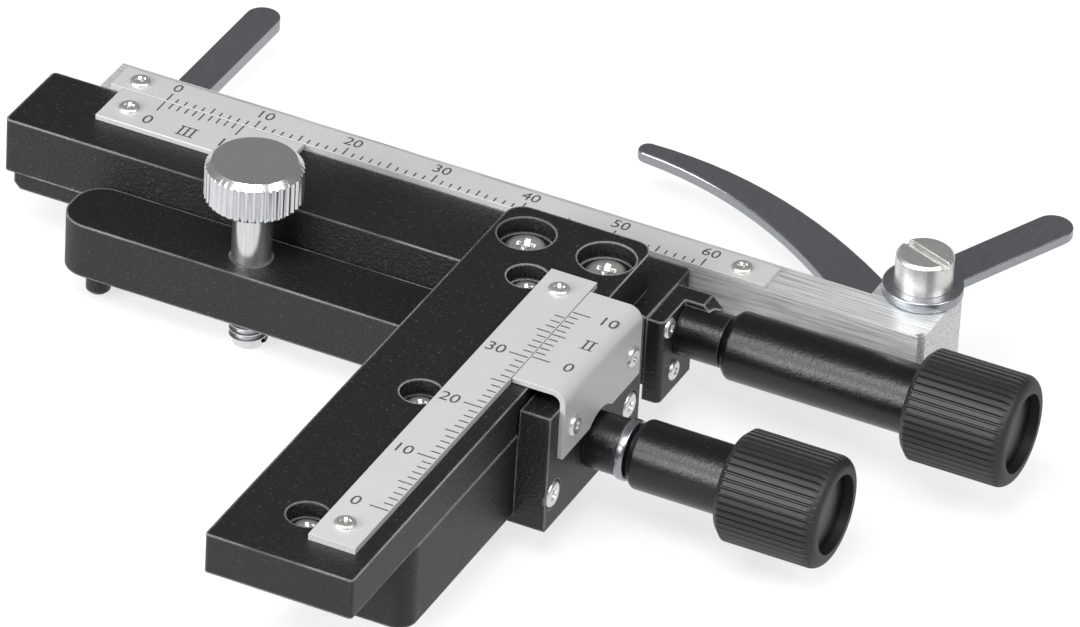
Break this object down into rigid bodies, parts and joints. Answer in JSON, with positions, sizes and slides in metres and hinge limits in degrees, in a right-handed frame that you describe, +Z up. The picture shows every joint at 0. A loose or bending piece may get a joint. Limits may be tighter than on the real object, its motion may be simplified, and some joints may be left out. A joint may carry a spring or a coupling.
{
  "type": "attachable mechanical microscope stage",
  "caption": "Attachable mechanical stage: clamp bar, arm and cross bar on rack slides with verniers, knobs, and a sprung finger that holds a microscope slide.",
  "frame": {"origin": "the clamp screw's axis where it leaves the mounting face, the underside of the mounting bar", "axes": "+X along the cross bar to the right, where the knobs are; +Y away from the user, where the slide fingers point; +Z up"},
  "size_m": [0.1107, 0.1046, 0.0217],
  "materials": {
    "black_enamel": "semi-gloss baked enamel with a fine grain",
    "knob_plastic": "satin moulded black",
    "bright_nickel": "bright nickel plate",
    "scale_plate": "satin with printed marks",
    "satin_bar": "satin nickel plate",
    "dark_steel": "polished, dark",
    "gear_brass": "machined"
  },
  "bodies": {
    "base": {"mounting_bar": "black_enamel", "locating_pins": "black_enamel", "guide_block": "black_enamel", "tenon_screws": "bright_nickel", "side_bracket": "black_enamel", "bracket_screws": "bright_nickel", "y_bush": "black_enamel", "y_washer": "bright_nickel", "vernier_two": "scale_plate", "vernier_two_screws": "bright_nickel"},
    "clamp": {"clamp_stud": "bright_nickel", "clamp_head": "bright_nickel"},
    "carriage": {"arm_plate": "black_enamel", "plate_screws": "bright_nickel", "arm_screws": "bright_nickel", "tongue": "black_enamel", "y_rack": "gear_brass", "y_ruler": "scale_plate", "y_ruler_screws": "bright_nickel", "cross_bar": "black_enamel", "keeper": "black_enamel", "keeper_screws": "bright_nickel", "vernier_three": "scale_plate", "vernier_three_screws": "bright_nickel", "bearing_plate": "black_enamel", "bearing_screws": "bright_nickel", "x_bush": "black_enamel"},
    "slide_holder": {"slide_bar": "satin_bar", "slide_rail": "dark_steel", "rail_screws": "bright_nickel", "x_ruler": "scale_plate", "x_ruler_screws": "bright_nickel", "fixed_finger": "dark_steel", "finger_screws": "bright_nickel"},
    "clip": {"clip_lever": "dark_steel", "clip_finger": "dark_steel", "pivot_pin": "bright_nickel", "clip_spring": "dark_steel"},
    "y_knob": {"y_shaft": "dark_steel", "y_pinion": "gear_brass", "y_sleeve": "black_enamel", "y_knob": "knob_plastic", "y_knob_cap": "knob_plastic"},
    "x_knob": {"x_shaft": "dark_steel", "x_pinion": "gear_brass", "x_sleeve": "black_enamel", "x_knob": "knob_plastic", "x_knob_cap": "knob_plastic"}
  },
  "joints": [
    {"name": "clamp_turn", "type": "hinge", "parent": "base", "child": "clamp", "pos_m": [0, 0, 0], "axis": [0, 0, 1], "continuous": true},
    {"name": "y_slide", "type": "slide", "parent": "base", "child": "carriage", "axis": [0, 1, 0], "range_m": [0, 0.0303]},
    {"name": "x_slide", "type": "slide", "parent": "carriage", "child": "slide_holder", "axis": [1, 0, 0], "range_m": [-0.06, 0]},
    {"name": "clip_pivot", "type": "hinge", "parent": "slide_holder", "child": "clip", "pos_m": [0.0635, 0.022, 0.0109], "axis": [0, 0, 1], "range_deg": [-40, 0], "stiffness_Nm_per_rad": 0.02, "springref_deg": 5.73},
    {"name": "y_knob_turn", "type": "hinge", "parent": "base", "child": "y_knob", "pos_m": [0.05, -0.0102, 0.00495], "axis": [1, 0, 0], "range_deg": [-1086, 0]},
    {"name": "x_knob_turn", "type": "hinge", "parent": "carriage", "child": "x_knob", "pos_m": [0.05, 0.009, 0.0069], "axis": [1, 0, 0], "range_deg": [-1081, 0]}
  ],
  "couplings": [
    {"joint": "y_knob_turn", "follows": "y_slide", "rad_per_m": -625},
    {"joint": "x_knob_turn", "follows": "x_slide", "rad_per_m": 314.16}
  ]
}
